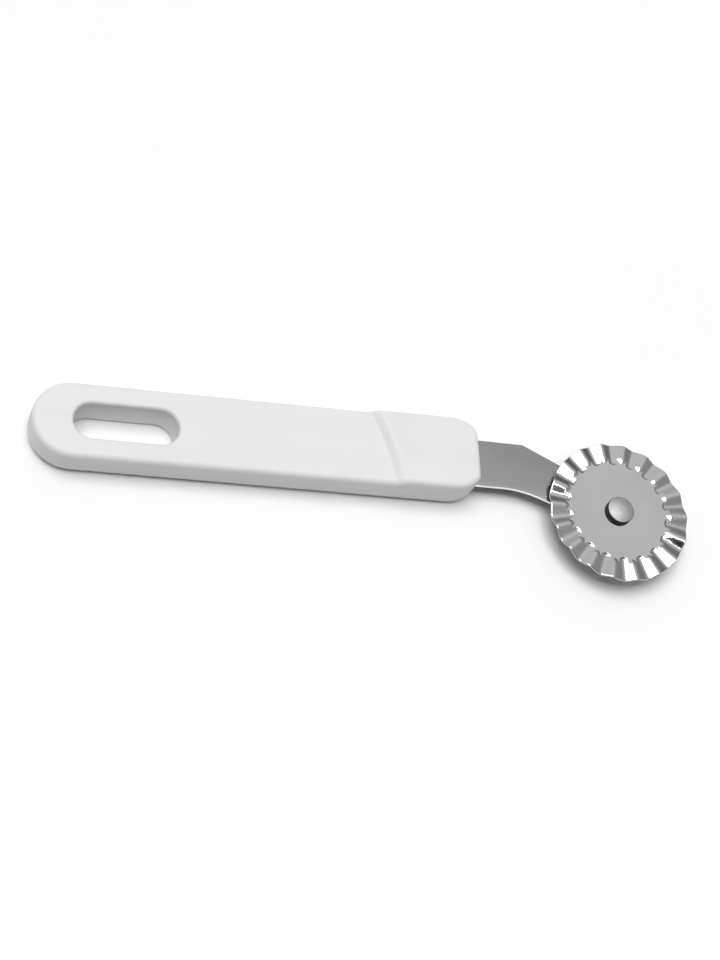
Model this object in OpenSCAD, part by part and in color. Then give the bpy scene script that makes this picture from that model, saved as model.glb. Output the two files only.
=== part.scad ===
// Hand-held fluted pastry cutter wheel: a flat moulded handle with a hanging slot, a cranked
// sheet-steel shank moulded into it, and a fluted cutting wheel that spins on a shouldered rivet.
// Frame: origin at the middle of the handle's flat back, +X along the handle towards the wheel,
// +Z out of the handle's face. Lengths are in millimetres, angles in degrees.

/* [Handle] */
// overall length of the handle
handle_l = 118; // [100:0.5:140]
// width across the handle
handle_w = 21; // [16:0.5:26]
// thickness of the rear grip
handle_t = 9.2; // [7:0.1:12]
// how far the front section stands above the rear grip
front_rise = 1.6; // [0:0.1:3]
// edge rounding of the face side
face_edge_r = 1.5; // [0.5:0.1:2.5]
// edge rounding of the back side
back_edge_r = 2; // [0.5:0.1:2.5]
// plan rounding of the two front corners
corner_r = 7; // [5:0.5:8]

/* [Step between grip and front section] */
// radius of the curved step line
step_r = 61.8; // [50:1:90]
// centre of the step curve behind the handle's front end
step_back = 84.8; // [70:0.1:120]
// sideways offset of the step curve's centre
step_side = -17; // [-25:0.5:0]
// length of the ramp
step_run = 2.6; // [2:0.1:6]

/* [Hanging slot] */
// end-to-end length of the slot
slot_l = 26.8; // [20:0.1:40]
// width of the slot
slot_w = 9.6; // [6:0.1:12]
// plastic between the slot and the handle's round end
slot_margin = 10.4; // [8:0.1:16]
// rim rounding on the face side
slot_face_r = 1; // [0.3:0.1:1.5]
// rim rounding on the back side
slot_back_r = 0.6; // [0.3:0.1:1.5]

/* [Shank] */
// sheet thickness
shank_t = 1.5; // [1:0.1:2.5]
// height of the sheet's lower side above the handle's back
shank_z = 3.9; // [3:0.1:6]
// blade width where it leaves the handle
shank_w = 13.4; // [10:0.1:16]
// distance from the handle's end to the outer corner of the crank
crank_x = 14.6; // [10:0.1:25]
// sideways position of that corner
crank_y = 6.5; // [5:0.1:8]
// start of the inner curve of the crank, from the handle's end
inner_x = 7.5; // [4:0.5:12]
// radius of the inner curve of the crank
inner_r = 29.5; // [15:0.5:50]
// radius of the rounded eye behind the wheel
eye_r = 5.2; // [4:0.1:7]

/* [Hidden tang] */
// length of the tang inside the plastic
tang_l = 58; // [40:1:65]
// width of the tang
tang_w = 9; // [6:0.5:12]
// full-width length of the blade inside the plastic
tang_root = 14; // [8:1:20]
// diameter of the keying holes that fill with plastic
key_d = 4.5; // [3:0.5:6]
// spacing of the keying holes
key_pitch = 17; // [10:1:22]

/* [Cutting wheel] */
// outside diameter
wheel_d = 40; // [30:1:60]
// sheet thickness
wheel_t = 0.6; // [0.4:0.1:1.2]
// number of flutes round the rim
flutes = 18; // [12:1:24]
// radius where the flutes begin
flute_in_r = 13.4; // [11:0.1:16]
// slope of the flute walls
flute_slope = 0.35; // [0.2:0.01:0.6]
// radial length over which a groove reaches its full width
groove_run = 1.4; // [0.5:0.1:4]
// radial length over which a ridge reaches its full width
ridge_run = 2.4; // [0.5:0.1:5]
// rounding of the flute crests, as a length along the rim
crest_soft = 0.35; // [0.1:0.05:0.8]
// wheel centre ahead of the handle's front end
wheel_x = 40.1; // [30:0.1:60]
// wheel centre to the side of the handle's centre line
wheel_y = -11.8; // [-16:0.1:0]
// height of the wheel's mid plane above the handle's back
wheel_z = 7.1; // [6:0.1:9]
// turn of the wheel about its own axis
wheel_turn = 9.5; // [0:0.5:20]

/* [Axle rivet and spacer] */
// journal diameter that the wheel runs on
journal_d = 5; // [3:0.1:8]
// radial running clearance in the wheel's bore
bore_gap = 0.06; // [0.02:0.01:0.1]
// end play of the wheel on each side
end_play = 0.1; // [0.05:0.05:0.3]
// head diameter
head_d = 7.6; // [6:0.1:10]
// head height
head_h = 2; // [1:0.1:3]
// straight rim of the head
head_rim = 0.5; // [0.2:0.1:1]
// tenon diameter through the spacer and the shank
tenon_d = 4; // [2.5:0.1:5]
// diameter of the peened tail
tail_d = 6.4; // [5:0.1:8]
// height of the peened tail
tail_h = 1; // [0.5:0.1:1.5]
// outside diameter of the spacer washer
spacer_d = 9; // [7:0.5:12]

/* [Hidden] */
$fn = 64;
eps = 0.01;
half_l = handle_l / 2;
half_w = handle_w / 2;
front_t = handle_t + front_rise;
tail_x = -half_l + half_w;
corner_y = half_w - corner_r;
corner_x = half_l - corner_r;
front_start = half_l - 36;
step_x = half_l - step_back;
slot_x = -half_l + slot_margin + slot_l / 2;
slot_half = slot_l / 2 - slot_w / 2;
axle_x = half_l + wheel_x;
axle_y = wheel_y;
shank_top = shank_z + shank_t;
web_back = wheel_z - wheel_t / 2;
web_front = wheel_z + wheel_t / 2;
spacer_top = web_back - end_play;
head_base = web_front + end_play;
tail_base = shank_z - tail_h;
quarter = 90 / flutes;
wheel_r = wheel_d / 2;
cols = 12 * flutes;
ring_r = concat(
    [for (i = [0:4]) flute_in_r + i * groove_run / 4],
    [flute_in_r + ridge_run * 0.8, flute_in_r + ridge_run * 1.2],
    [(flute_in_r + ridge_run * 1.2 + wheel_r) / 2, wheel_r]
);
rows = len(ring_r);

function smooth(u) = u <= 0 ? 0 : u >= 1 ? 1 : u * u * (3 - 2 * u);
// distance in degrees from the nearest flute line whose phase is given
function off_line(a, phase) = abs((a - phase + 36000) % (360 / flutes) - 180 / flutes);
function soft(s) = sqrt(s * s + crest_soft * crest_soft) - crest_soft;
// depth of one V at radius r, angle a degrees off its line, for an onset length run
function vee(r, a, run) =
    let (reach = r * quarter * PI / 180 * smooth((r - flute_in_r) / run))
    max(0, soft(reach) - soft(r * a * PI / 180)) * flute_slope;
function wave(r, a) =
    vee(r, off_line(a, 0), ridge_run) - vee(r, off_line(a, 180 / flutes), groove_run);

// half of the handle's cross-section, from its middle plane out to the rounded side
module half_section(reach, thick) {
    translate([0, back_edge_r]) square([reach, thick - face_edge_r - back_edge_r]);
    square([reach - back_edge_r, thick / 2]);
    translate([0, thick / 2]) square([reach - face_edge_r, thick / 2]);
    translate([reach - back_edge_r, back_edge_r]) circle(back_edge_r);
    translate([reach - face_edge_r, thick - face_edge_r]) circle(face_edge_r);
}

module straight_grip(x0, x1, thick) {
    translate([x0, 0, 0]) rotate([90, 0, 90]) linear_extrude(x1 - x0) {
        half_section(half_w, thick);
        mirror([1, 0]) half_section(half_w, thick);
    }
}

module round_tail() {
    translate([tail_x, 0, 0]) rotate([0, 0, 90]) rotate_extrude(angle = 180)
        half_section(half_w, handle_t);
}

module front_corner(turn) {
    translate([corner_x, turn < 0 ? -corner_y : corner_y, 0]) rotate([0, 0, turn])
        rotate_extrude(angle = 90) half_section(corner_r, front_t);
}

// front end between the two corners
module front_end() {
    translate([corner_x, corner_y, 0]) rotate([90, 0, 0]) linear_extrude(2 * corner_y)
        half_section(corner_r, front_t);
}

// the space above the grip, behind the curved ramp that leads up to the front section
module step_cut() {
    translate([step_x, step_side, handle_t])
        cylinder(h = 2 * front_rise, r1 = step_r, r2 = step_r + 2 * step_run, $fn = 256);
}

// carries the grip's edge rounding on, beside the front section, as far as the ramp
module step_edge(side) {
    foot = step_x + sqrt(pow(step_r, 2) - pow(side * half_w - step_side, 2));
    translate([front_start, 0, 0]) rotate([90, 0, 90]) linear_extrude(foot + 1 - front_start)
        scale([side, 1]) translate([half_w - face_edge_r, handle_t - face_edge_r]) difference() {
            square(2 * face_edge_r);
            circle(face_edge_r);
        }
}

module slot_half_profile() {
    translate([0, -1]) square([slot_w / 2, handle_t + 2]);
    translate([0, -1]) square([slot_w / 2 + slot_back_r, 1 + slot_back_r]);
    translate([0, handle_t - slot_face_r]) square([slot_w / 2 + slot_face_r, 1 + slot_face_r]);
}

module slot_section() {
    difference() {
        slot_half_profile();
        translate([slot_w / 2 + slot_back_r, slot_back_r]) circle(slot_back_r);
        translate([slot_w / 2 + slot_face_r, handle_t - slot_face_r]) circle(slot_face_r);
    }
}

module hanging_slot() {
    translate([slot_x - slot_half, 0, 0]) rotate([90, 0, 90]) linear_extrude(2 * slot_half) {
        slot_section();
        mirror([1, 0]) slot_section();
    }
    for (end = [-1, 1])
        translate([slot_x + end * slot_half, 0, 0]) rotate([0, 0, -90 * end])
            rotate_extrude(angle = 180) slot_section();
}

module handle_body() {
    round_tail();
    straight_grip(tail_x, front_start, handle_t);
    difference() {
        straight_grip(front_start, corner_x, front_t);
        step_cut();
        step_edge(1);
        step_edge(-1);
    }
    front_corner(0);
    front_corner(-90);
    front_end();
}

// the moulded plastic closes round the tang and fills its keying holes
module handle() {
    color("white") difference() {
        handle_body();
        hanging_slot();
        shank_solid();
    }
}

// arc of n steps from angle a0 to a1 about c
function arc(c, r, a0, a1, n) =
    [for (i = [0:n]) let (a = a0 + (a1 - a0) * i / n) c + r * [cos(a), sin(a)]];

// plan of the steel blank: tang, blade, cranked arm and round eye
module blank_plan() {
    eye = [wheel_x, wheel_y];
    bend = [inner_x, -shank_w / 2 - inner_r];
    outer = eye - [crank_x, crank_y];
    inner = eye - bend;
    outer_a = atan2(outer.y, outer.x) + asin(eye_r / norm(outer)) + 90;
    inner_a = atan2(inner.y, inner.x) + acos((inner_r + eye_r) / norm(inner));
    polygon(concat(
        [[-tang_l, tang_w / 2], [-tang_root, tang_w / 2], [-tang_root, shank_w / 2]],
        [[0, shank_w / 2], [crank_x, crank_y]],
        arc(eye, eye_r, outer_a, inner_a - 180, 28),
        arc(bend, inner_r, inner_a, 90, 12),
        [[-tang_root, -shank_w / 2], [-tang_root, -tang_w / 2], [-tang_l, -tang_w / 2]]
    ));
}

module shank_solid() {
    translate([half_l, 0, shank_z]) linear_extrude(shank_t) difference() {
        blank_plan();
        translate([wheel_x, wheel_y]) circle(tenon_d / 2);
        for (i = [0:1]) translate([-tang_l + tang_w + i * key_pitch, 0]) circle(key_d / 2);
    }
}

module shank() {
    color("silver") shank_solid();
}

// pressed disc: a flat web, then V-shaped grooves and ridges that widen out to the rim
module fluted_disc() {
    pts = [for (side = [1, -1]) for (r = ring_r) for (c = [0:cols - 1])
        let (a = 360 * c / cols)
        [r * cos(a), r * sin(a), wave(r, a) + side * wheel_t / 2]];
    layer = rows * cols;
    top = [for (i = [0:rows - 2]) for (c = [0:cols - 1])
        let (p = i * cols + c, q = i * cols + (c + 1) % cols)
        each [[p, q, q + cols], [p, q + cols, p + cols]]];
    bottom = [for (f = top) [f[0] + layer, f[2] + layer, f[1] + layer]];
    edge = [for (c = [0:cols - 1])
        let (p = (rows - 1) * cols + c, q = (rows - 1) * cols + (c + 1) % cols)
        each [[p, q, q + layer], [p, q + layer, p + layer]]];
    web_top = [[for (c = [0:cols - 1]) cols - 1 - c]];
    web_bottom = [[for (c = [0:cols - 1]) layer + c]];
    polyhedron(points = pts, faces = concat(top, bottom, edge, web_top, web_bottom));
}

module cutting_wheel() {
    color("gainsboro") translate([axle_x, axle_y, wheel_z]) difference() {
        rotate([0, 0, wheel_turn]) fluted_disc();
        translate([0, 0, -2]) cylinder(h = 4, r = journal_d / 2 + bore_gap);
    }
}

// domed head, journal, tenon and peened tail in one turned piece
module axle_rivet() {
    rise = head_h - head_rim;
    dome_r = (head_d * head_d / 4 + rise * rise) / (2 * rise);
    color("silver") translate([axle_x, axle_y, 0]) rotate_extrude() {
        intersection() {
            translate([0, head_base + head_h - dome_r]) circle(dome_r);
            translate([0, head_base]) square([head_d / 2, head_h]);
        }
        translate([0, spacer_top]) square([journal_d / 2, head_base - spacer_top + eps]);
        translate([0, shank_z - eps]) square([tenon_d / 2, spacer_top - shank_z + 2 * eps]);
        translate([0, tail_base]) square([tail_d / 2 - tail_h / 2, tail_h]);
        translate([tail_d / 2 - tail_h / 2, tail_base + tail_h / 2]) circle(tail_h / 2);
    }
}

module spacer_washer() {
    color("silver") translate([axle_x, axle_y, shank_top]) difference() {
        cylinder(h = spacer_top - shank_top, d = spacer_d);
        translate([0, 0, -1]) cylinder(h = spacer_top - shank_top + 2, d = tenon_d);
    }
}

handle();
shank();
cutting_wheel();
axle_rivet();
spacer_washer();
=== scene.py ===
# Looks of the fluted pastry cutter wheel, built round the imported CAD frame.
import math

import bmesh
import bpy
from mathutils import Matrix, Vector
from mathutils.geometry import delaunay_2d_cdt


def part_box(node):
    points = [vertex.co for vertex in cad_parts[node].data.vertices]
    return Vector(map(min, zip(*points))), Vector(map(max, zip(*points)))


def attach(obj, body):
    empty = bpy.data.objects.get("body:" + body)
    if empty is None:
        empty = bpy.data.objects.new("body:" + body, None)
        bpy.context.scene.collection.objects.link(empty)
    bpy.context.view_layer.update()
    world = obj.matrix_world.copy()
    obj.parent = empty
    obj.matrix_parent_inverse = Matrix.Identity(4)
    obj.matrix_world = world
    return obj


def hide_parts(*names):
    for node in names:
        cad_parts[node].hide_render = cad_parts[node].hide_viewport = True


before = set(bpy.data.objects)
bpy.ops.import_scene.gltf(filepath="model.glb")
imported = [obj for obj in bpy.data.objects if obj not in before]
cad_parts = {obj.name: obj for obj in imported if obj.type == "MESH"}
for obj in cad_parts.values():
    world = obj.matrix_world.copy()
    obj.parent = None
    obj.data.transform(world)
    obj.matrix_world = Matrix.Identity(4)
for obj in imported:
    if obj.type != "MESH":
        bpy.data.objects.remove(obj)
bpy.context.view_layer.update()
MM = 0.001

# ---------------------------------------------------------------- sizes, in millimetres
# Overall sizes come from the frame; the finer ones are this script's own.
lo, hi = (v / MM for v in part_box("handle"))
HALF_L, HALF_W, FRONT_T = hi.x, hi.y, hi.z
RISE = 1.6                          # the front section stands this much above the grip
GRIP_T = FRONT_T - RISE
FACE_R, BACK_R = 1.5, 2.3           # roundings of the outer edge
FACE_BAND = 0.22                    # flat band that holds the shading beside a rounding
TAIL_X = -HALF_L + HALF_W
CORNER_R, TIP_R, BOW_R = 9.5, 3.0, 125.0
CORNER_TURN = 42.0                  # degrees turned at the corner's larger radius
STEP_R, STEP_RUN, STEP_CREST = 61.5, 3.0, 0.6
STEP_X, STEP_Y = HALF_L - 84.8, -17.0
STEP_ZONE = HALF_L - 32, HALF_L - 17  # stretch of the sides that the ramp crosses
SLOT_L, SLOT_W, SLOT_MARGIN = 26.8, 9.6, 10.4
SLOT_FACE_R, SLOT_BACK_R, SLOT_BAND = 1.0, 0.6, 0.15
SLOT_X = -HALF_L + SLOT_MARGIN + SLOT_L / 2
MOUTH_DEPTH, MOUTH_HALF_W, MOUTH_GAP = 0.9, 6.95, 0.25

lo, hi = (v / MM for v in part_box("cutting_wheel"))
AXLE = (lo + hi) / 2
WHEEL_R = (hi.x - lo.x) / 2
WHEEL_T, BORE_R, RIM_ROUND = 0.6, 2.56, 0.24
WEB_R = 12.6                        # flat middle of the wheel
FLUTES, FLUTE_IN, FLUTE_SLOPE, WHEEL_TURN = 18, 13.4, 0.41, 9.6
FLUTE_SOFT, FLUTE_SPLIT = 0.5, 0.45
GROOVE_RUN, RIDGE_RUN = 0.8, 2.3    # lengths over which a flute grows out of the web
PRESS_OFFSET = Vector((-0.3, 0.3, 0))  # the flutes are pressed a little off the blank's centre
PRESSED_FROM = 13.2                 # outside this the pressing has left the sheet uneven

lo, hi = (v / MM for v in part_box("shank"))
SHANK_LO, SHANK_HI = lo.z, hi.z
# the last is the height of a painted shade: a near-black band along the bottom of the shank's side edge
SHANK_FACE_EDGE, SHANK_BACK_EDGE, PAINTED_DARK_HEIGHT = 0.20, 0.28, 0.5
WASHER_EDGE = 0.12
lo, hi = (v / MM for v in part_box("axle_rivet"))
HEAD_TOP, TAIL_LOW, HEAD_R = hi.z, lo.z, (hi.x - lo.x) / 2
HEAD_RIM = 1.15                     # straight part of the head under its dome
DOME_FLAT_R = 0.6                   # the dome's crown is slightly flattened inside this
JOURNAL_R, TENON_R, TAIL_R = 2.5, 2.0, 3.2
CLEARANCE = 0.1                     # on each side of the wheel

# ---------------------------------------------------------------- light, camera, floor: metres, degrees
SOFT_BOX, WALL, WALL_GLOW, DIMMEST = 5.9, 0.34, 0.70, 0.10
LENS, SENSOR = 75.1, 36.0
AZIMUTH, ELEVATION, ROLL = -35.46, 58.47, 36.30
CAMERA_AT = (-0.1306, -0.22905, 0.4473)
FLOOR_HALF, FLOOR_DROP = 3.0, 0.0002


# ---------------------------------------------------------------- helpers
def ease(u):
    u = min(1.0, max(0.0, u))
    return u * u * (3 - 2 * u)


def make_object(name, verts, faces, scale=MM):
    mesh = bpy.data.meshes.new(name)
    mesh.from_pydata([Vector(v) * scale for v in verts], [], faces)
    bm = bmesh.new()
    bm.from_mesh(mesh)
    bmesh.ops.remove_doubles(bm, verts=bm.verts, dist=1e-7)
    bmesh.ops.recalc_face_normals(bm, faces=bm.faces)
    bm.to_mesh(mesh)
    bm.free()
    obj = bpy.data.objects.new(name, mesh)
    bpy.context.scene.collection.objects.link(obj)
    return obj


def smooth_by_angle(obj, degrees):
    """Smooth shading, with an edge kept sharp where its faces turn by more than the angle."""
    bm = bmesh.new()
    bm.from_mesh(obj.data)
    for f in bm.faces:
        f.smooth = True
    for e in bm.edges:
        e.smooth = len(e.link_faces) == 2 and e.calc_face_angle(0) < math.radians(degrees)
    bm.to_mesh(obj.data)
    bm.free()


def apply_modifiers(obj):
    depsgraph = bpy.context.evaluated_depsgraph_get()
    mesh = bpy.data.meshes.new_from_object(obj.evaluated_get(depsgraph))
    obj.modifiers.clear()
    obj.data = mesh


def stand_for(obj, body, node, material):
    obj.data.materials.clear()
    obj.data.materials.append(material)
    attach(obj, body)
    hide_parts(node)


# ---------------------------------------------------------------- node materials
class Nodes:
    """Small helper that adds and links shader nodes."""

    def __init__(self, tree):
        self.tree = tree

    def add(self, kind, inputs=None, **props):
        n = self.tree.nodes.new(kind)
        for key, value in props.items():
            setattr(n, key, value)
        for key, value in (inputs or {}).items():
            if isinstance(value, bpy.types.NodeSocket):
                self.tree.links.new(value, n.inputs[key])
            else:
                n.inputs[key].default_value = value
        return n

    def noise(self, vector, scale, detail=2.0, rough=0.5):
        return self.add("ShaderNodeTexNoise", {"Vector": vector, "Scale": scale,
                                               "Detail": detail, "Roughness": rough}).outputs["Fac"]

    def remap(self, value, a, b, c, d):
        return self.add("ShaderNodeMapRange", {"Value": value, "From Min": a, "From Max": b,
                                               "To Min": c, "To Max": d}).outputs["Result"]

    def math(self, op, a, b=0.0):
        return self.add("ShaderNodeMath", {0: a, 1: b}, operation=op).outputs[0]

    def stretched(self, vector, sx, sy, sz):
        return self.add("ShaderNodeMapping", {"Vector": vector, "Scale": (sx, sy, sz)}).outputs[0]

    def blend(self, fac, a, b):
        n = self.add("ShaderNodeMix", {"Factor": fac}, data_type="RGBA")
        n.inputs[6].default_value, n.inputs[7].default_value = (*a, 1), (*b, 1)
        return n.outputs[2]


def new_material(name):
    mat = bpy.data.materials.new(name)
    mat.use_nodes = True
    shader = mat.node_tree.nodes["Principled BSDF"]
    return mat, Nodes(mat.node_tree), shader


def plastic_material():
    """White satin moulding: very fine grain, faint flow marks and slightly uneven gloss."""
    mat, n, shader = new_material("moulded_plastic")
    where = n.add("ShaderNodeTexCoord").outputs["Object"]
    flow = n.noise(n.stretched(where, 40, 130, 130), 1.0, 3.0, 0.55)
    grain = n.noise(where, 5200.0, 2.0, 0.6)
    tone = n.blend(n.remap(flow, 0.3, 0.7, 0.0, 1.0), (0.68, 0.68, 0.678), (0.71, 0.71, 0.708))
    n.tree.links.new(tone, shader.inputs["Base Color"])
    gloss = n.math("ADD", n.remap(flow, 0.3, 0.7, 0.50, 0.58),
                   n.remap(grain, 0.2, 0.8, -0.03, 0.03))
    n.tree.links.new(gloss, shader.inputs["Roughness"])
    height = n.math("ADD", n.math("MULTIPLY", grain, 0.5), n.math("MULTIPLY", flow, 2.0))
    bump = n.add("ShaderNodeBump", {"Strength": 0.10, "Distance": 0.00004, "Height": height})
    n.tree.links.new(bump.outputs[0], shader.inputs["Normal"])
    shader.inputs["Specular IOR Level"].default_value = 0.35
    return mat


GRAIN_STRETCH = 0.035   # scratches are this much coarser along the rolling direction
SCRATCH_DEPTH = 0.00001
# near-black painted shade for the bottom of the shank's side edge
PAINTED_DARK_EDGE_TONE = 0.04
CUT_ROUGHER = 0.25


def steel_material(name, dark, light, rough, grain_scale, bump_strength, along=(0, 0, 0), cut=0.0,
                   cut_from=(0.15, 0.45), painted_dark_below=None, ripple=None):
    """Bare stainless sheet: directional fine scratches, soft cloudy tone and uneven polish.

    cut is the tone of the surfaces that face sideways; 0 leaves them as the face. On the shank it is
    the edges' own bright tone; on the rivet it is painted shade, a near-black tone on the head's rim.
    cut_from says how far a surface faces up or down where that tone starts to fade and where it has
    gone. Given a height, the sideways edge below it is painted near-black: painted shade that stands
    for the shadowed floor reflected in the edge's lower part. ripple gives a middle and the radius
    outside which the surface is a little uneven, then the fineness of its waves and their depth."""
    mat, n, shader = new_material(name)
    where = n.add("ShaderNodeTexCoord").outputs["Object"]
    turned = n.add("ShaderNodeMapping", {"Vector": where, "Rotation": along}).outputs[0]
    grain = n.stretched(turned, grain_scale * GRAIN_STRETCH, grain_scale, grain_scale)
    scratch = n.noise(grain, 1.0, 3.0, 0.6)
    cloud = n.noise(where, 90.0, 3.0, 0.5)
    shade = n.math("ADD", n.remap(scratch, 0.25, 0.75, 0.0, 0.5), n.remap(cloud, 0.3, 0.7, 0.0, 0.5))
    tone = n.blend(shade, dark, light)
    gloss = n.math("ADD", n.remap(scratch, 0.25, 0.75, rough[0], rough[1]),
                   n.remap(cloud, 0.3, 0.7, -0.02, 0.02))
    # sideways faces take the tone cut: the shank's own edge tone, and painted shade on the rivet's rim
    if cut:
        facing = n.add("ShaderNodeSeparateXYZ", {0: n.add("ShaderNodeTexCoord").outputs["Normal"]})
        side_facing = n.remap(n.math("ABSOLUTE", facing.outputs["Z"]), *cut_from, 1.0, 0.0)
        mix = n.add("ShaderNodeMix", {"Factor": side_facing}, data_type="RGBA")
        n.tree.links.new(tone, mix.inputs[6])
        mix.inputs[7].default_value = (cut, cut, cut, 1)
        # painted shade: below this height the sideways edge is painted near-black
        if painted_dark_below:
            level = n.add("ShaderNodeSeparateXYZ", {0: where}).outputs["Z"]
            edge = n.remap(level, painted_dark_below, painted_dark_below + 0.1 * MM, 0.0, 1.0)
            dark_edge_paint = n.blend(edge, (PAINTED_DARK_EDGE_TONE,) * 3, (cut,) * 3)
            n.tree.links.new(dark_edge_paint, mix.inputs[7])
        tone = mix.outputs[2]
        gloss = n.math("ADD", gloss, n.math("MULTIPLY", side_facing, CUT_ROUGHER))
    n.tree.links.new(tone, shader.inputs["Base Color"])
    n.tree.links.new(gloss, shader.inputs["Roughness"])
    bump = n.add("ShaderNodeBump", {"Strength": bump_strength, "Distance": SCRATCH_DEPTH,
                                    "Height": scratch})
    if ripple:
        middle, radius, fineness, depth = ripple
        apart = n.add("ShaderNodeVectorMath", {0: where, 1: middle}, operation="DISTANCE")
        outside = n.remap(apart.outputs["Value"], radius, radius * 1.1, 0, 1)
        wavy = n.math("MULTIPLY", n.noise(where, fineness, 2.0, 0.5), outside)
        bump = n.add("ShaderNodeBump", {"Strength": 1.0, "Distance": depth, "Height": wavy,
                                        "Normal": bump.outputs[0]})
    n.tree.links.new(bump.outputs[0], shader.inputs["Normal"])
    shader.inputs["Metallic"].default_value = 1.0
    return mat


# ---------------------------------------------------------------- handle
def face_height(x, y):
    """Height of the face: a straight ramp rises from a crisp foot and its crest is rounded off."""
    run = (math.hypot(x - STEP_X, y - STEP_Y) - STEP_R) / STEP_RUN
    run = min(1.0, max(0.0, run))
    slope = 1 / (1 - STEP_CREST / 2)
    over = max(0.0, run - 1 + STEP_CREST)
    return GRIP_T + RISE * slope * (run - over * over / (2 * STEP_CREST))


def arc(cx, cy, r, a0, a1, n):
    """Points of an arc, each with its outward direction; the last point is left out."""
    out = []
    for i in range(n):
        a = math.radians(a0 + (a1 - a0) * i / n)
        out.append((cx + r * math.cos(a), cy + r * math.sin(a), math.cos(a), math.sin(a)))
    return out


def stations(a, b, step):
    n = max(1, round(abs(b - a) / step))
    return [a + (b - a) * i / n for i in range(n)]


def handle_outline():
    """Plan of the handle: round tail, straight sides, corners that tighten towards a bowed end.
    Each corner is two arcs: the larger turns by CORNER_TURN, the tip turns on to meet the bow."""
    corner_y = HALF_W - CORNER_R
    gamma = 90 - CORNER_TURN
    lift = corner_y + (CORNER_R - TIP_R) * math.sin(math.radians(gamma))
    reach = BOW_R - TIP_R
    beta = math.degrees(math.asin(lift / reach))
    bow_x = HALF_L - BOW_R
    tip_x = bow_x + math.sqrt(reach * reach - lift * lift)
    corner_x = tip_x - (CORNER_R - TIP_R) * math.cos(math.radians(gamma))
    ramp0, ramp1 = STEP_ZONE
    xs = stations(TAIL_X, ramp0, 2.0) + stations(ramp0, ramp1, 0.3) + stations(ramp1, corner_x, 1.5)
    lower = [(x, -HALF_W, 0, -1) for x in xs]
    upper = [(x, HALF_W, 0, 1) for x in reversed(xs[1:])]
    return (lower
            + arc(corner_x, -corner_y, CORNER_R, -90, -gamma, 12)
            + arc(tip_x, -lift, TIP_R, -gamma, -beta, 10)
            + arc(bow_x, 0, BOW_R, -beta, beta, 10)
            + arc(tip_x, lift, TIP_R, beta, gamma, 10)
            + arc(corner_x, corner_y, CORNER_R, gamma, 90, 12)
            + [(corner_x, HALF_W, 0, 1)] + upper
            + arc(TAIL_X, 0, HALF_W, 90, 270, 56))


def slot_outline():
    r = SLOT_W / 2
    a, b = SLOT_X - SLOT_L / 2 + r, SLOT_X + SLOT_L / 2 - r
    lower = [(x, -r, 0, -1) for x in stations(a, b, 1.2)]
    upper = [(x, r, 0, 1) for x in stations(b, a, 1.2)]
    return lower + arc(b, 0, r, -90, 90, 36) + upper + arc(a, 0, r, 90, 270, 36)


ROUND_STEPS = 8


def edge_rings(outline, side, face_r, back_r, band):
    """Rings of points from the face, over the face-side rounding, down the wall and round to the
    back. side is 1 for an outer wall, whose rounding goes inwards, and -1 for a hole's."""
    rings = []

    def ring(inset, height):
        pts = []
        for x, y, nx, ny in outline:
            px, py = x - side * nx * inset, y - side * ny * inset
            pts.append((px, py, height(px, py)))
        rings.append(pts)

    ring(face_r + band, face_height)
    for i in range(ROUND_STEPS, -1, -1):
        a = math.radians(90 * i / ROUND_STEPS)
        drop = face_r * (1 - math.sin(a))
        ring(face_r * (1 - math.cos(a)), lambda x, y, d=drop: face_height(x, y) - d)
    for share in (0.75, 0.5, 0.25):
        ring(0, lambda x, y, s=share: back_r + (face_height(x, y) - face_r - back_r) * s)
    for i in range(ROUND_STEPS + 1):
        a = math.radians(90 * i / ROUND_STEPS)
        ring(back_r * (1 - math.cos(a)), lambda x, y, b=a: back_r * (1 - math.sin(b)))
    ring(back_r + band, lambda x, y: 0.0)
    return rings


def fill_between(outer, hole, lines, height):
    """Triangles of the flat region between an outer loop and a hole, with edges along the lines."""
    flat = [(p[0], p[1]) for p in outer + hole]
    n, m = len(outer), len(hole)
    edges = [(i, (i + 1) % n) for i in range(n)] + [(n + i, n + (i + 1) % m) for i in range(m)]
    for line in lines:
        edges += [(len(flat) + i, len(flat) + i + 1) for i in range(len(line) - 1)]
        flat += line
    verts, _, faces, *_ = delaunay_2d_cdt([Vector(p) for p in flat], edges, [], 1, 1e-6)
    # keep the triangles whose middle lies outside the hole, which has straight sides and round ends
    straight = SLOT_L / 2 - SLOT_W / 2
    hole_r = max(p[1] for p in hole) - 1e-4
    cells = []
    for f in faces:
        c = sum((verts[i] for i in f), Vector((0, 0))) / len(f)
        if math.hypot(max(0.0, abs(c.x - SLOT_X) - straight), c.y) > hole_r:
            cells.append(tuple(f))
    return [(v.x, v.y, height(v.x, v.y)) for v in verts], cells


def ramp_lines():
    """Lines of points that carry the curved ramp, on circles about the step's centre, with one more
    circle beyond its foot and one beyond its crest."""
    limit = HALF_W - FACE_R - 0.55
    rows = 16
    lines = []
    for i in [-1, *range(rows + 1), rows + 2]:
        r = STEP_R + STEP_RUN * i / rows
        line = []
        for j in range(-24, 50):
            a = math.radians(j * 0.9)
            x, y = STEP_X + r * math.cos(a), STEP_Y + r * math.sin(a)
            if abs(y) < limit:
                line.append((x, y))
        lines.append(line)
    return lines


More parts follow.
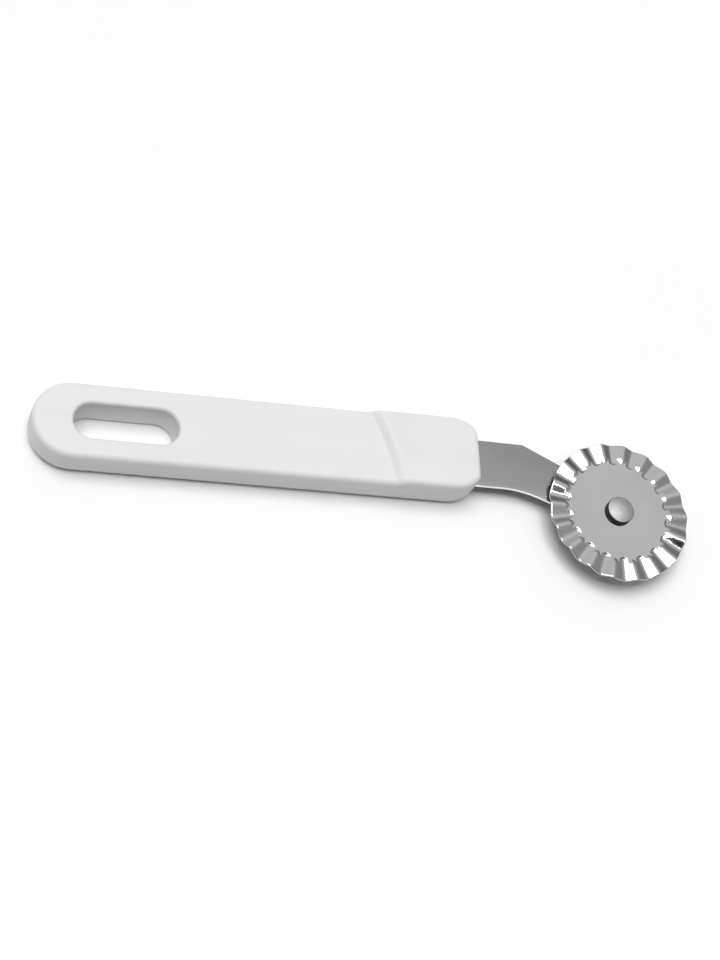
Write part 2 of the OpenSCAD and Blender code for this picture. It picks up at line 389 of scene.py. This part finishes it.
def build_handle():
    verts, faces = [], []

    def add_loops(rings):
        base, n = len(verts), len(rings[0])
        for r in rings:
            verts.extend(r)
        for k in range(len(rings) - 1):
            for i in range(n):
                a, b = base + k * n + i, base + k * n + (i + 1) % n
                faces.append((a, b, b + n, a + n))

    outer = edge_rings(handle_outline(), 1, FACE_R, BACK_R, FACE_BAND)
    inner = edge_rings(slot_outline(), -1, SLOT_FACE_R, SLOT_BACK_R, SLOT_BAND)
    add_loops(outer)
    add_loops(inner)
    for o, h, lines, height in ((outer[0], inner[0], ramp_lines(), face_height),
                                (outer[-1], inner[-1], [], lambda x, y: 0.0)):
        pts, cells = fill_between(o, h, lines, height)
        base = len(verts)
        verts.extend(pts)
        faces.extend(tuple(base + i for i in c) for c in cells)
    handle = make_object("handle_moulding", verts, faces)

    # the moulding stops just short of the sheet where the shank comes out
    cut = [(HALF_L + dx, dy, dz) for dx in (-MOUTH_DEPTH, 2.0) for dy in (-MOUTH_HALF_W, MOUTH_HALF_W)
           for dz in (SHANK_LO - MOUTH_GAP, SHANK_HI + MOUTH_GAP)]
    box_faces = [(0, 1, 3, 2), (4, 6, 7, 5), (0, 4, 5, 1), (2, 3, 7, 6), (0, 2, 6, 4), (1, 5, 7, 3)]
    box = make_object("mouth_cutter", cut, box_faces)
    mod = handle.modifiers.new("mouth", "BOOLEAN")
    mod.operation, mod.solver, mod.object = "DIFFERENCE", "EXACT", box
    apply_modifiers(handle)
    bpy.data.objects.remove(box)
    smooth_by_angle(handle, 40)
    return handle


# ---------------------------------------------------------------- wheel
def flute_height(r, turn):
    """Height of the pressed sheet's middle at a turn counted in flutes from a groove's bottom.
    Grooves go back and ridges come forward; the two walls of a flute are not quite equal."""
    turn = turn % 1.0
    if turn < FLUTE_SPLIT:
        phase = 0.5 * turn / FLUTE_SPLIT
    else:
        phase = 0.5 + 0.5 * (turn - FLUTE_SPLIT) / (1 - FLUTE_SPLIT)
    pitch = 2 * math.pi * r / FLUTES

    def rounded(s):
        return math.sqrt(s * s + FLUTE_SOFT * FLUTE_SOFT) - FLUTE_SOFT

    def vee(centre, run):
        off = abs((phase - centre) % 1.0 - 0.5)
        reach = 0.25 * ease((r - FLUTE_IN) / run)
        return max(0.0, rounded(pitch * reach) - rounded(pitch * off)) * FLUTE_SLOPE

    return vee(0.0, RIDGE_RUN) - vee(0.5, GROOVE_RUN)


def wheel_profile():
    """Section of the disc as (radius, height from the sheet's middle) points, all the way round."""
    half = WHEEL_T / 2
    radii = [BORE_R, 4.5, 8.0, 11.0, WEB_R]
    radii += [FLUTE_IN - 0.3 + 0.15 * i for i in range(26)]
    radii += [FLUTE_IN + 4.2 + 0.5 * i for i in range(4)] + [WHEEL_R - 0.35]
    profile = [(r, half) for r in radii]
    for a in (0, 30, 60, 90):
        inset = 1 - math.sin(math.radians(a)), 1 - math.cos(math.radians(a))
        profile.append((WHEEL_R - RIM_ROUND * inset[0], half - RIM_ROUND * inset[1]))
    return profile + [(r, -z) for r, z in reversed(profile)]


def wheel_spot(r, turn):
    """Where a point of the blank lies, and how far it is from the flutes' centre. The bore and the
    rim are round about the axle; the flutes are round about the pressing's own centre."""
    t = math.radians(360 * turn / FLUTES + WHEEL_TURN)
    out = Vector((math.cos(t), math.sin(t), 0))
    if r <= WEB_R:
        return AXLE + PRESS_OFFSET * ease((r - BORE_R) / (WEB_R - BORE_R)) + out * r, r
    along = PRESS_OFFSET.dot(out)
    rim = math.sqrt(along ** 2 + WHEEL_R ** 2 - PRESS_OFFSET.length_squared) - along
    reach = WEB_R + (r - WEB_R) * (rim - WEB_R) / (WHEEL_R - WEB_R)
    return AXLE + PRESS_OFFSET + out * reach, reach


def build_wheel():
    cols = FLUTES * 24
    profile = wheel_profile()
    rows = len(profile)
    verts, faces = [], []
    for r, z in profile:
        for c in range(cols):
            turn = FLUTES * c / cols
            spot, reach = wheel_spot(r, turn)
            verts.append((spot.x, spot.y, AXLE.z + flute_height(reach, turn) + z))
    for k in range(rows):
        for c in range(cols):
            a, b = k * cols + c, k * cols + (c + 1) % cols
            up = ((k + 1) % rows - k) * cols
            faces.append((a, b, b + up, a + up))
    wheel = make_object("fluted_disc", verts, faces)
    smooth_by_angle(wheel, 50)
    return wheel


# ---------------------------------------------------------------- rivet, washer, shank
def lathe(name, profile, centre, steps=96):
    """A turned solid from (radius, height) points that start and end on the axis."""
    verts = [(centre.x, centre.y, profile[0][1])]
    for r, z in profile[1:-1]:
        for i in range(steps):
            a = 2 * math.pi * i / steps
            verts.append((centre.x + r * math.cos(a), centre.y + r * math.sin(a), z))
    verts.append((centre.x, centre.y, profile[-1][1]))
    faces = [(0, 1 + i, 1 + (i + 1) % steps) for i in range(steps)]
    for k in range(len(profile) - 3):
        for i in range(steps):
            a, b = 1 + k * steps + i, 1 + k * steps + (i + 1) % steps
            faces.append((a, b, b + steps, a + steps))
    last, base = len(verts) - 1, 1 + (len(profile) - 3) * steps
    faces += [(last, base + (i + 1) % steps, base + i) for i in range(steps)]
    return make_object(name, verts, faces)


def build_rivet():
    head_base = AXLE.z + WHEEL_T / 2 + CLEARANCE
    spacer_top = AXLE.z - WHEEL_T / 2 - CLEARANCE
    rise = HEAD_TOP - head_base - HEAD_RIM
    dome_r = (HEAD_R ** 2 + rise ** 2) / (2 * rise)
    profile = [(0, HEAD_TOP - 0.03), (0.35, HEAD_TOP - 0.028), (DOME_FLAT_R, HEAD_TOP - 0.02)]
    for i in range(1, 15):
        r = DOME_FLAT_R + (HEAD_R - 0.14 - DOME_FLAT_R) * i / 14
        profile.append((r, HEAD_TOP - dome_r + math.sqrt(dome_r ** 2 - r * r)))
    edge_z = profile[-1][1]
    # the dome's edge, the rim and the underside of the head
    profile += [(HEAD_R - 0.06, edge_z - 0.07), (HEAD_R - 0.01, edge_z - 0.15),
                (HEAD_R, edge_z - 0.25), (HEAD_R, head_base + 0.12), (HEAD_R - 0.12, head_base)]
    # the journal that the wheel turns on, then the tenon through the shank
    profile += [(JOURNAL_R, head_base), (JOURNAL_R, spacer_top), (TENON_R, spacer_top),
                (TENON_R, SHANK_LO)]
    # the peened tail: a rounded edge and a slightly dished end
    round_r = (SHANK_LO - TAIL_LOW) / 2
    profile += [(TAIL_R - 0.3, SHANK_LO)]
    for i in range(9):
        a = math.radians(60 - 150 * i / 8)
        profile.append((TAIL_R - round_r + round_r * math.cos(a),
                        TAIL_LOW + round_r + round_r * math.sin(a)))
    profile += [(1.6, TAIL_LOW + 0.03), (1.0, TAIL_LOW + 0.10), (0, TAIL_LOW + 0.12)]
    rivet = lathe("rivet", profile, AXLE)
    smooth_by_angle(rivet, 40)
    return rivet


def softened_copy(node, name, face_edge, back_edge):
    """The CAD piece as a new mesh, with its edges eased by different amounts on its two sides."""
    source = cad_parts[node]
    mesh = source.data.copy()
    bm = bmesh.new()
    bm.from_mesh(mesh)
    bmesh.ops.remove_doubles(bm, verts=bm.verts, dist=1e-6)
    bmesh.ops.dissolve_limit(bm, angle_limit=math.radians(0.5), verts=bm.verts, edges=bm.edges)
    bm.to_mesh(mesh)
    bm.free()
    obj = bpy.data.objects.new(name, mesh)
    bpy.context.scene.collection.objects.link(obj)
    low, high = (v.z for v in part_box(node))
    for side, level, width in (("face", high, face_edge), ("back", low, back_edge)):
        group = obj.vertex_groups.new(name=side)
        group.add([v.index for v in mesh.vertices if abs(v.co.z - level) < 1e-5], 1.0, "REPLACE")
        mod = obj.modifiers.new(side, "BEVEL")
        mod.width, mod.segments = width * MM, 3
        mod.limit_method, mod.vertex_group = "VGROUP", side
    apply_modifiers(obj)
    obj.vertex_groups.clear()
    smooth_by_angle(obj, 50)
    return obj


# ---------------------------------------------------------------- the five pieces
axle_at = tuple(AXLE * MM)
plastic = plastic_material()
# the shank's sideways edges take a bright tone, and their lowest half millimetre is painted near-black
# as painted shade
shank_steel = steel_material("shank_steel", (0.39, 0.39, 0.39), (0.44, 0.44, 0.44),
                             (0.17, 0.24), 9000.0, 0.15, (0, 0, math.radians(2)), 0.98,
                             painted_dark_below=(SHANK_LO + PAINTED_DARK_HEIGHT) * MM)
wheel_steel = steel_material("wheel_steel", (0.60, 0.60, 0.60), (0.68, 0.68, 0.68),
                             (0.03, 0.06), 7000.0, 0.06, (0, 0, math.radians(35)),
                             ripple=(axle_at, PRESSED_FROM * MM, 420.0, 0.00005))
# the rivet's sideways faces, chiefly the head's rim, are painted near-black (0.08) as painted shade
# under the head
rivet_steel = steel_material("rivet_steel", (0.40, 0.40, 0.395), (0.50, 0.50, 0.495),
                             (0.56, 0.66), 2500.0, 0.60, cut=0.08, cut_from=(0.55, 0.85),
                             ripple=(axle_at, 0.01 * MM, 1700.0, 0.00008))
washer_steel = steel_material("washer_steel", (0.48, 0.48, 0.48), (0.56, 0.56, 0.56),
                              (0.25, 0.35), 5000.0, 0.20)

handle = build_handle()
shank = softened_copy("shank", "shank_blank", SHANK_FACE_EDGE, SHANK_BACK_EDGE)
wheel = build_wheel()
rivet = build_rivet()
washer = softened_copy("spacer_washer", "spacer_ring", WASHER_EDGE, WASHER_EDGE)
stand_for(handle, "tool", "handle", plastic)
stand_for(shank, "tool", "shank", shank_steel)
stand_for(wheel, "wheel", "cutting_wheel", wheel_steel)
stand_for(rivet, "tool", "axle_rivet", rivet_steel)
stand_for(washer, "tool", "spacer_washer", washer_steel)


# ---------------------------------------------------------------- floor
def build_floor():
    h = FLOOR_HALF
    floor = make_object("floor", [(-h, -h, 0), (h, -h, 0), (h, h, 0), (-h, h, 0)], [(0, 1, 2, 3)], 1.0)
    floor.location.z = -FLOOR_DROP
    mat, n, shader = new_material("pale_floor")
    where = n.add("ShaderNodeTexCoord").outputs["Object"]
    tone = n.blend(n.noise(where, 6.0), (0.84, 0.84, 0.84), (0.86, 0.86, 0.86))
    n.tree.links.new(tone, shader.inputs["Base Color"])
    shader.inputs["Roughness"].default_value = 0.9
    shader.inputs["Specular IOR Level"].default_value = 0.1
    floor.data.materials.append(mat)
    return floor


floor = build_floor()


# ---------------------------------------------------------------- studio light
def build_studio():
    """Light from all round the upper half: a big soft box overhead, grey walls, a dark bar, and a
    dark place where the camera stands. They are laid out on a flat map of the sky that has the
    zenith at its middle and the horizon one unit out."""
    world = bpy.data.worlds.new("studio")
    bpy.context.scene.world = world
    world.use_nodes = True
    n = Nodes(world.node_tree)
    towards = n.add("ShaderNodeSeparateXYZ", {0: n.add("ShaderNodeTexCoord").outputs["Generated"]})
    x, y, z = towards.outputs
    spread = n.math("MAXIMUM", n.math("ADD", z, 1.0), 0.05)
    u, v = n.math("DIVIDE", x, spread), n.math("DIVIDE", y, spread)

    def fade(value, a, b):
        """0 below a and 1 above b; a higher than b turns it round."""
        low, high, c, d = (a, b, 0.0, 1.0) if a < b else (b, a, 1.0, 0.0)
        return n.add("ShaderNodeMapRange", {"Value": value, "From Min": low, "From Max": high,
                                            "To Min": c, "To Max": d},
                     interpolation_type="SMOOTHSTEP").outputs["Result"]

    def away(cu, cv):
        du, dv = n.math("SUBTRACT", u, cu), n.math("SUBTRACT", v, cv)
        return n.math("SQRT", n.math("ADD", n.math("MULTIPLY", du, du), n.math("MULTIPLY", dv, dv)))

    def product(*values):
        out = values[0]
        for value in values[1:]:
            out = n.math("MULTIPLY", out, value)
        return out

    # the soft box has one slanted side
    slant = n.math("ADD", u, n.math("MULTIPLY", v, 0.5))
    box = product(fade(u, -0.30, -0.24), fade(slant, 0.135, 0.085),
                  fade(v, -0.15, -0.12), fade(v, 0.235, 0.185))
    # the walls glow behind the object and darken towards the camera's side and the horizon
    glow = n.math("MULTIPLY", fade(away(0.08, 0.25), 0.5, 0.15), WALL_GLOW - WALL)
    low_down = n.remap(fade(away(0, 0), 0.55, 0.95), 0, 1, 1, 0.35)
    wall = product(n.math("ADD", glow, WALL), fade(v, -0.36, -0.13), low_down)
    light = n.math("ADD", n.math("MULTIPLY", box, SOFT_BOX), n.math("MAXIMUM", wall, DIMMEST))
    camera_side = n.remap(fade(away(-0.17, -0.27), 0.16, 0.11), 0, 1, 1, 0.06)
    # the dark bar lies aslant beside the soft box
    across, length = n.math("SUBTRACT", u, v), n.math("ADD", u, v)
    bar = product(fade(across, 0.16, 0.18), fade(across, 0.245, 0.225),
                  fade(length, -0.14, -0.12), fade(length, 0.07, 0.05))
    bar = n.remap(bar, 0, 1, 1, 0.03)
    background = world.node_tree.nodes["Background"]
    n.tree.links.new(product(light, camera_side, bar), background.inputs["Strength"])
    background.inputs["Color"].default_value = (1, 1, 1, 1)


build_studio()

# ---------------------------------------------------------------- camera
camera = bpy.data.objects.new("camera", bpy.data.cameras.new("camera"))
bpy.context.scene.collection.objects.link(camera)
camera.data.lens = LENS
camera.data.sensor_width = SENSOR
camera.data.clip_start, camera.data.clip_end = 0.02, 20.0
azimuth, elevation, roll = (math.radians(v) for v in (AZIMUTH, ELEVATION, ROLL))
forward = Vector((-math.sin(azimuth) * math.cos(elevation), math.cos(azimuth) * math.cos(elevation),
                  -math.sin(elevation)))
camera.rotation_mode = "QUATERNION"
camera.rotation_quaternion = (forward.to_track_quat("-Z", "Y")
                              @ Matrix.Rotation(roll, 4, "Z").to_quaternion())
camera.location = CAMERA_AT
bpy.context.scene.camera = camera
bpy.context.scene.view_settings.view_transform = "Standard"
bpy.context.scene.view_settings.look = "None"
